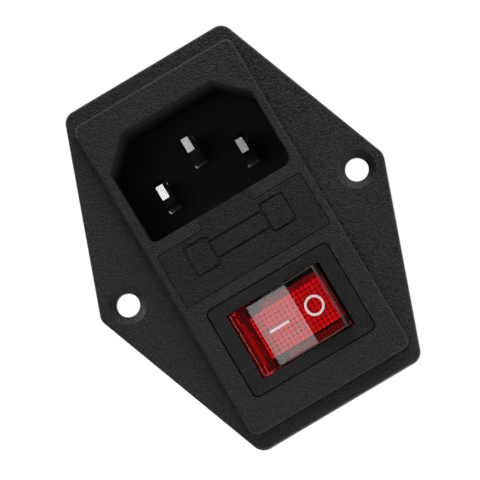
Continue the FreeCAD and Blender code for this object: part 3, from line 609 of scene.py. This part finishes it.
@dataclass
class Rocker:
    """The clear rocker: where it turns, how it stands, and what its top carries.

    Its own axes are the module's, before the rocker is tilted about its pivot.
    """

    pivot: Vector
    tilt: float
    end_height: float = 2.5 * MM
    end_reach: float = 7.555 * MM
    dish: float = 0.9 * MM
    ceiling_y: float = -0.2 * MM
    panel: Span = (12.49 * MM, 7.07 * MM)
    panel_shift: float = 1.045 * MM
    body: str = "rocker_assembly"
    stud_columns: int = 17
    stud_rows: int = 10
    stud_ring: float = 0.20 * MM
    stud_wire: float = 0.10 * MM
    ring_sides: int = 10
    wire_sides: int = 5
    panel_sheet: float = 0.05 * MM
    panel_corner: float = 0.25 * MM
    panel_points: int = 32
    mark_line: float = 0.40 * MM
    mark_rise: float = 0.03 * MM
    mark_root: float = 0.02 * MM
    mark_crown: float = 0.9
    off_centre: float = 4.55 * MM
    off_radius: float = 1.40 * MM
    off_points: int = 64
    on_centre: float = -1.74 * MM
    on_length: float = 3.4 * MM
    on_points: int = 13
    slot: str = "red_clear_plastic"
    placed: Matrix = field(init=False)

    def __post_init__(self) -> None:
        """Works out the move from the rocker's own axes to its modelled pose."""
        turn = Matrix.Rotation(self.tilt, 4, "Z")
        self.placed = Matrix.Translation(self.pivot) @ turn

    def top_y(self, x: float) -> float:
        """How far the dished top lies from the pivot plane at x."""
        radius = (self.end_reach ** 2 + self.dish ** 2) / (2 * self.dish)
        middle = -self.end_height + self.dish
        return middle - (radius - math.sqrt(radius ** 2 - x ** 2))

    def stud_tree(self) -> bpy.types.NodeTree:
        """Geometry nodes that lay ring studs out on a grid.

        Returns:
            The tree, with named inputs for its sizes.
        """
        tree = bpy.data.node_groups.new("stud_grid", "GeometryNodeTree")
        tree.interface.new_socket("Geometry", in_out="OUTPUT", socket_type="NodeSocketGeometry")
        inputs = (
            ("NodeSocketInt", ("Columns", "Rows")),
            ("NodeSocketFloat", ("Width", "Height", "Ring Radius", "Wire Radius")),
            ("NodeSocketMaterial", ("Finish",)),
        )
        for kind, names in inputs:
            for name in names:
                tree.interface.new_socket(name, in_out="INPUT", socket_type=kind)
        sheet = NodeSheet(tree)
        given = sheet.make("NodeGroupInput").outputs
        grid = sheet.make("GeometryNodeMeshGrid", {}, {
            "Size X": given["Width"], "Size Y": given["Height"],
            "Vertices X": given["Columns"], "Vertices Y": given["Rows"],
        })
        circles = []
        for sides, radius in ((self.ring_sides, "Ring Radius"), (self.wire_sides, "Wire Radius")):
            values = {"Resolution": sides, "Radius": given[radius]}
            circles.append(sheet.make("GeometryNodeCurvePrimitiveCircle", {}, values).outputs[0])
        stud = sheet.make("GeometryNodeCurveToMesh", {}, {0: circles[0], 1: circles[1]}).outputs[0]
        places = {"Points": grid.outputs[0], "Instance": stud}
        spread = sheet.make("GeometryNodeInstanceOnPoints", {}, places).outputs[0]
        real = sheet.make("GeometryNodeRealizeInstances", {}, {0: spread}).outputs[0]
        dressed = sheet.make("GeometryNodeSetMaterial", {}, {"Geometry": real, "Material": given["Finish"]})
        sheet.make("NodeGroupOutput", {}, {0: dressed.outputs[0]})
        return tree

    def add_studs(self) -> None:
        """Bakes the stud grid and sets it under the rocker's top."""
        tree = self.stud_tree()
        margin = self.stud_ring + self.stud_wire
        sizes = {
            "Columns": self.stud_columns,
            "Rows": self.stud_rows,
            "Width": self.panel[0] - 2 * margin,
            "Height": self.panel[1] - 2 * margin,
            "Ring Radius": self.stud_ring,
            "Wire Radius": self.stud_wire,
            "Finish": STUD_RED.material(),
        }
        carrier = bpy.data.objects.new("stud_carrier", bpy.data.meshes.new("stud_carrier"))
        bpy.context.scene.collection.objects.link(carrier)
        modifier = carrier.modifiers.new("studs", "NODES")
        modifier.node_group = tree
        for item in tree.interface.items_tree:
            if item.in_out == "INPUT":
                modifier[item.identifier] = sizes[item.name]
        evaluated = carrier.evaluated_get(bpy.context.evaluated_depsgraph_get())
        mesh = bpy.data.meshes.new_from_object(evaluated)
        carrier.modifiers.remove(modifier)
        bpy.data.objects.remove(carrier)
        middle = Vector((self.panel_shift, self.ceiling_y + self.stud_wire, 0.0))
        lay = Matrix.Translation(middle) @ Matrix.Rotation(math.pi / 2, 4, "X")
        mesh.transform(self.placed @ lay)
        mesh.update()
        add_piece("lens_studs", mesh, STUD_RED, self.body)

    def add_panel(self) -> None:
        """The frosted sheet under the studs, with rounded corners."""
        corner = self.panel_corner
        half = [size / 2 - corner for size in self.panel]
        outline = []
        for step in range(self.panel_points):
            angle = 2 * math.pi * (step + 0.5) / self.panel_points
            across, up = math.cos(angle), math.sin(angle)
            x = self.panel_shift + math.copysign(half[0], across) + corner * across
            outline.append((x, math.copysign(half[1], up) + corner * up))
        built = bmesh.new()
        front = self.ceiling_y + self.stud_wire
        levels = (front, front + self.panel_sheet)
        near, far = ([built.verts.new((x, y, z)) for x, z in outline] for y in levels)
        built.faces.new(near)
        built.faces.new(far)
        for i in range(len(outline)):
            after = (i + 1) % len(outline)
            built.faces.new((near[i], near[after], far[after], far[i]))
        mesh = mesh_from("lens_panel", built, False)
        mesh.transform(self.placed)
        add_piece("lens_panel", mesh, PANEL_RED, self.body)

    def strip_on_top(self, name: str, line: Sequence[Vector], closed: bool) -> None:
        """A thin painted strip that follows the dished top.

        Args:
            name: The piece's name.
            line: The strip's middle, as points with x and z in the rocker's own axes.
            closed: Whether the strip joins up with its start.
        """
        built = bmesh.new()
        count = len(line)
        crown, root, rise = self.mark_crown, -self.mark_root, self.mark_rise
        profile = ((1.0, root), (crown, rise), (-crown, rise), (-1.0, root))
        rows = []
        for i, point in enumerate(line):
            before = line[(i - 1) % count] if closed or i else point
            after = line[(i + 1) % count] if closed or i < count - 1 else point
            run = (after - before).normalized()
            side = Vector((-run.z, 0.0, run.x)) * self.mark_line / 2
            row = []
            for offset, lift in profile:
                at = point + side * offset
                row.append(built.verts.new((at.x, self.top_y(at.x) - lift, at.z)))
            rows.append(row)
        pairs = list(zip(rows, rows[1:] + rows[:1])) if closed else list(zip(rows, rows[1:]))
        for first, second in pairs:
            for j in range(4):
                built.faces.new((first[j], first[(j + 1) % 4], second[(j + 1) % 4], second[j]))
        if not closed:
            built.faces.new(rows[0])
            built.faces.new(rows[-1])
        mesh = mesh_from(name, built, False)
        mesh.transform(self.placed)
        add_piece(name, mesh, INK, self.body)

    def add_marks(self) -> None:
        """The ring for off and the stroke for on."""
        middle = Vector((self.off_centre, 0.0, 0.0))
        ring = []
        for i in range(self.off_points):
            angle = 2 * math.pi * i / self.off_points
            ring.append(middle + self.off_radius * Vector((math.cos(angle), 0.0, math.sin(angle))))
        self.strip_on_top("off_mark", ring, True)
        start = self.on_centre - self.on_length / 2
        steps = self.on_points - 1
        stroke = [Vector((start + self.on_length * i / steps, 0.0, 0.0)) for i in range(self.on_points)]
        self.strip_on_top("on_mark", stroke, False)

    def build(self) -> None:
        """Dresses the rocker and adds its studs and marks."""
        dress("rocker", ClearResin("red_clear_resin", pivot_y=self.pivot.y, tilt=self.tilt))
        self.add_studs()
        self.add_panel()
        self.add_marks()
        log.info("rocker ready")


@dataclass
class SwitchWorks:
    """The switch body and what works inside it."""

    rocker: Rocker
    terminals: Sequence[str] = ("common_terminal", "load_terminal", "lamp_terminal")
    springs: Sequence[str] = ("plunger_spring", "lamp_spring_left", "lamp_spring_right")
    leads: Sequence[str] = ("lamp_link", "lamp_lead_left", "lamp_lead_right")
    contacts: Sequence[str] = ("lever_contact", "load_contact")
    electrode_radius: float = 0.22 * MM
    electrode_offset: float = 0.42 * MM
    electrode_share: float = 0.72
    electrode_sides: int = 12
    electrode_profile: Sequence[Span] = ((-0.5, 0.35), (-0.46, 1.0), (0.40, 1.0), (0.47, 0.7), (0.5, 0.2))

    def add_electrodes(self) -> None:
        """The neon lamp's two parallel electrode rods, inside the glass.

        The profile gives each ring's place, as a share of the rod's length, and its share of the radius.
        """
        low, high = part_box("neon_lamp")
        centre = self.rocker.placed.inverted() @ ((low + high) / 2)
        length = (high.x - low.x) * self.electrode_share
        count = self.electrode_sides
        for side in Side:
            built = bmesh.new()
            rings = []
            for share, swell in self.electrode_profile:
                radius = self.electrode_radius * swell
                x, z = centre.x + share * length, centre.z + side.value * self.electrode_offset
                ring = []
                for i in range(count):
                    angle = 2 * math.pi * i / count
                    spot = (x, centre.y + radius * math.cos(angle), z + radius * math.sin(angle))
                    ring.append(built.verts.new(spot))
                rings.append(ring)
            for first, second in zip(rings, rings[1:]):
                for i in range(count):
                    built.faces.new((first[i], first[(i + 1) % count], second[(i + 1) % count], second[i]))
            built.faces.new(rings[0])
            built.faces.new(rings[-1])
            name = f"neon_electrode_{side.name.lower()}"
            mesh = mesh_from(name, built, True)
            mesh.transform(self.rocker.placed)
            add_piece(name, mesh, STEEL, self.rocker.body)

    def build(self) -> None:
        """Dresses the switch's inside."""
        dress("switch_body", SWITCH_BLACK)
        dress("plunger", SWITCH_BLACK)
        sets = ((self.terminals, NICKEL), (self.springs, STEEL), (self.leads, TIN), (self.contacts, SILVER))
        for names, finish in sets:
            for name in names:
                dress(name, finish)
        dress("contact_lever", BRASS)
        dress("neon_lamp", GLASS)
        low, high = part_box("lamp_resistor")
        tilt = self.rocker.tilt
        start = low.x * math.cos(tilt) + high.y * math.sin(tilt)
        dress("lamp_resistor", BandedCeramic("resistor_lacquer", start, tilt))
        self.add_electrodes()
        log.info("switch works ready")


@dataclass(frozen=True)
class Softbox:
    """A rectangular lamp that faces the module.

    Its direction is in degrees to the left of the front and degrees up, and its distance is from the
    origin. A radiance of 1 is as bright as a white surround.
    """

    name: str
    direction: Span
    size: Span
    radiance: float
    distance: float = 0.60

    def place(self) -> None:
        """Adds the lamp to the scene, out of the camera's sight."""
        left, rise = (math.radians(angle) for angle in self.direction)
        level = math.cos(rise)
        spot = Vector((-math.sin(left) * level, -math.cos(left) * level, math.sin(rise))) * self.distance
        data = bpy.data.lights.new(self.name, "AREA")
        data.shape = "RECTANGLE"
        data.size, data.size_y = self.size
        data.energy = self.radiance * math.pi * self.size[0] * self.size[1]
        lamp = bpy.data.objects.new(self.name, data)
        bpy.context.scene.collection.objects.link(lamp)
        lamp.location = spot
        lamp.rotation_mode = "QUATERNION"
        lamp.rotation_quaternion = (-spot).to_track_quat("-Z", "Y")
        lamp.visible_camera = False
        log.info("lamp %s at radiance %.1f", self.name, self.radiance)


KEY_HALF_ANGLE = math.radians(11.2)
KEY_DISTANCE = 0.45
KEY_WIDTH = 2 * KEY_DISTANCE * math.tan(KEY_HALF_ANGLE)
SOFTBOXES = (
    Softbox("key_softbox", (15.2, 6.0), (KEY_WIDTH, 0.07), 4.2, KEY_DISTANCE),
    Softbox("upper_right_softbox", (-50.0, 48.0), (0.36, 0.36), 5.5),
    Softbox("right_softbox", (-66.0, 8.0), (0.12, 0.40), 3.6),
    Softbox("top_softbox", (25.0, 66.0), (0.80, 0.26), 1.9),
    Softbox("left_softbox", (88.0, 30.0), (0.20, 0.40), 0.6),
    Softbox("back_softbox", (150.0, 35.0), (0.45, 0.40), 2.6),
    Softbox("back_right_softbox", (215.0, 20.0), (0.40, 0.40), 1.6),
)


@dataclass
class Studio:
    """Floor, lamps, white surround and the camera of the photograph.

    The world's spans are shares of the looking direction, and the floor's are in metres.
    """

    lamps: Sequence[Softbox] = SOFTBOXES
    distance: float = 0.700
    pitch: float = -0.100
    turn: float = -0.024
    slide: Span = (0.536 * MM, 0.014 * MM)
    roll: Span = (0.861, 0.509)
    pixels_per_mm: float = 6.636
    picture_width: int = 480
    sensor_width: float = 36.0
    clip: Span = (0.01, 20.0)
    floor_z: float = -0.085
    floor_front: float = -0.12
    floor_reach: float = 0.60
    floor_middle: float = 0.24
    floor_fade: Span = (0.10, 0.35)
    floor_behind: Span = (-0.05, 0.25)
    floor_pale: Colour = (0.90, 0.90, 0.90)
    floor_cloud: Colour = (0.86, 0.86, 0.86)
    world_behind: Span = (-0.60, 0.15)
    world_above: Span = (-0.55, 0.45)
    plain_level: float = 0.50
    low_level: float = 0.16
    room_level: float = 0.07

    def camera_axes(self) -> tuple[Vector, Vector, Vector]:
        """Right, up and forward of the camera before its roll."""
        ca, sa = math.cos(self.turn), math.sin(self.turn)
        ce, se = math.cos(self.pitch), math.sin(self.pitch)
        right = Vector((ca, -sa, 0.0))
        forward = Vector((ce * sa, ce * ca, -se))
        up = Vector((se * sa, se * ca, ce))
        return right, up, forward

    def add_camera(self) -> None:
        """Sets the camera where the photograph was taken from."""
        right, up, forward = self.camera_axes()
        cosine, sine = self.roll
        rolled_right = (cosine * right - sine * up).normalized()
        rolled_up = (sine * right + cosine * up).normalized()
        spot = -self.slide[0] * right - self.slide[1] * up - self.distance * forward
        data = bpy.data.cameras.new("photo_camera")
        data.sensor_width = self.sensor_width
        data.lens = self.pixels_per_mm * self.distance / MM * data.sensor_width / self.picture_width
        data.clip_start, data.clip_end = self.clip
        camera = bpy.data.objects.new("photo_camera", data)
        bpy.context.scene.collection.objects.link(camera)
        turned = Matrix((rolled_right, rolled_up, -forward)).transposed().to_4x4()
        camera.matrix_world = Matrix.Translation(spot) @ turned
        bpy.context.scene.camera = camera
        log.info("camera at %s with a %.0f mm lens", tuple(round(v, 4) for v in spot), data.lens)

    def ray_masks(self, sheet: NodeSheet, behind: Signal) -> tuple[Signal, Signal]:
        """Which rays see white: the camera's, and mirrored or transmitted ones as far as behind says.

        Args:
            sheet: The node sheet of the floor or the world.
            behind: 1 where a mirrored ray sees white, and 0 where it sees the dim front of the room.

        Returns:
            1 for mirrored and transmitted rays, and the share of white.
        """
        path = sheet.make("ShaderNodeLightPath").outputs
        mirrored = Signal(sheet, path["Is Glossy Ray"]).at_least(Signal(sheet, path["Is Transmission Ray"]))
        return mirrored, Signal(sheet, path["Is Camera Ray"]).at_least(mirrored * behind)

    def add_surround(self) -> None:
        """A world that looks white, and lights the module at a plain level."""
        world = bpy.data.worlds.new("white_surround")
        world.use_nodes = True
        sheet = NodeSheet(world.node_tree)
        looking = sheet.make("ShaderNodeTexCoord").outputs["Generated"]
        way = sheet.make("ShaderNodeSeparateXYZ", {}, {0: looking}).outputs
        mirrored, seen = self.ray_masks(sheet, Signal(sheet, way[1]).ramp(*self.world_behind))
        above = Signal(sheet, way[2]).ramp(*self.world_above)
        spread = above * (self.plain_level - self.low_level) + self.low_level
        level = mirrored * self.room_level + (1.0 - mirrored) * spread
        plain = sheet.make("ShaderNodeBackground", {}, {"Color": WHITE, "Strength": level})
        white = sheet.make("ShaderNodeBackground", {}, {"Color": WHITE, "Strength": 1.0})
        mixed = sheet.make("ShaderNodeMixShader", {}, {0: seen, 1: plain.outputs[0], 2: white.outputs[0]})
        sheet.make("ShaderNodeOutputWorld", {}, {"Surface": mixed.outputs[0]})
        bpy.context.scene.world = world

    def add_floor(self) -> None:
        """A pale floor below the module that keeps its shadow, and turns white towards its edges."""
        built = bmesh.new()
        reach, front = self.floor_reach, self.floor_front
        corners = ((-reach, front), (reach, front), (reach, reach), (-reach, reach))
        built.faces.new([built.verts.new((x, y, self.floor_z)) for x, y in corners])
        mesh = bpy.data.meshes.new("pale_floor")
        built.to_mesh(mesh)
        built.free()
        floor = bpy.data.objects.new("pale_floor", mesh)
        bpy.context.scene.collection.objects.link(floor)
        material = bpy.data.materials.new("pale_floor")
        material.use_nodes = True
        sheet = NodeSheet(material.node_tree)
        clouds = sheet.noise(sheet.object_place(), 3.0, 2.0)
        pale = sheet.mix_colour(clouds * 0.3, self.floor_pale, self.floor_cloud)
        values = {"Base Color": pale, "Roughness": 0.9, "Specular IOR Level": 0.1}
        matt = sheet.make("ShaderNodeBsdfPrincipled", {}, values)
        glow = sheet.make("ShaderNodeEmission", {}, {"Color": WHITE, "Strength": 1.0})
        spot = sheet.make("ShaderNodeSeparateXYZ", {}, {0: sheet.object_place()}).outputs
        x, y = Signal(sheet, spot[0]), Signal(sheet, spot[1])
        seen = self.ray_masks(sheet, y.ramp(*self.floor_behind))[1]
        fade = abs(x).at_least(abs(y - self.floor_middle)).ramp(*self.floor_fade) * 0.5 + 0.5
        mixed = sheet.make("ShaderNodeMixShader", {}, {0: seen * fade, 1: matt.outputs[0], 2: glow.outputs[0]})
        sheet.make("ShaderNodeOutputMaterial", {}, {"Surface": mixed.outputs[0]})
        mesh.materials.append(material)

    def build(self) -> None:
        """Sets up the whole studio."""
        self.add_surround()
        self.add_floor()
        for lamp in self.lamps:
            lamp.place()
        self.add_camera()
        bpy.context.scene.view_settings.view_transform = "Standard"
        log.info("studio ready")


def write_sizes() -> None:
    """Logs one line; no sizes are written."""
    log.info("sizes written")


def main() -> None:
    logging.basicConfig(level=logging.INFO, format="%(name)s: %(message)s")
    hinge = next(joint for joint in frame["joints"] if joint["name"] == "rocker_hinge")
    rocker = Rocker(Vector(hinge["pos_m"]), -math.radians(hinge["range_deg"][1]) / 2)
    for assembly in (InletAndHousing(), FuseDrawer(), rocker, SwitchWorks(rocker), Studio()):
        assembly.build()
    write_sizes()


if __name__ == "__main__":
    main()
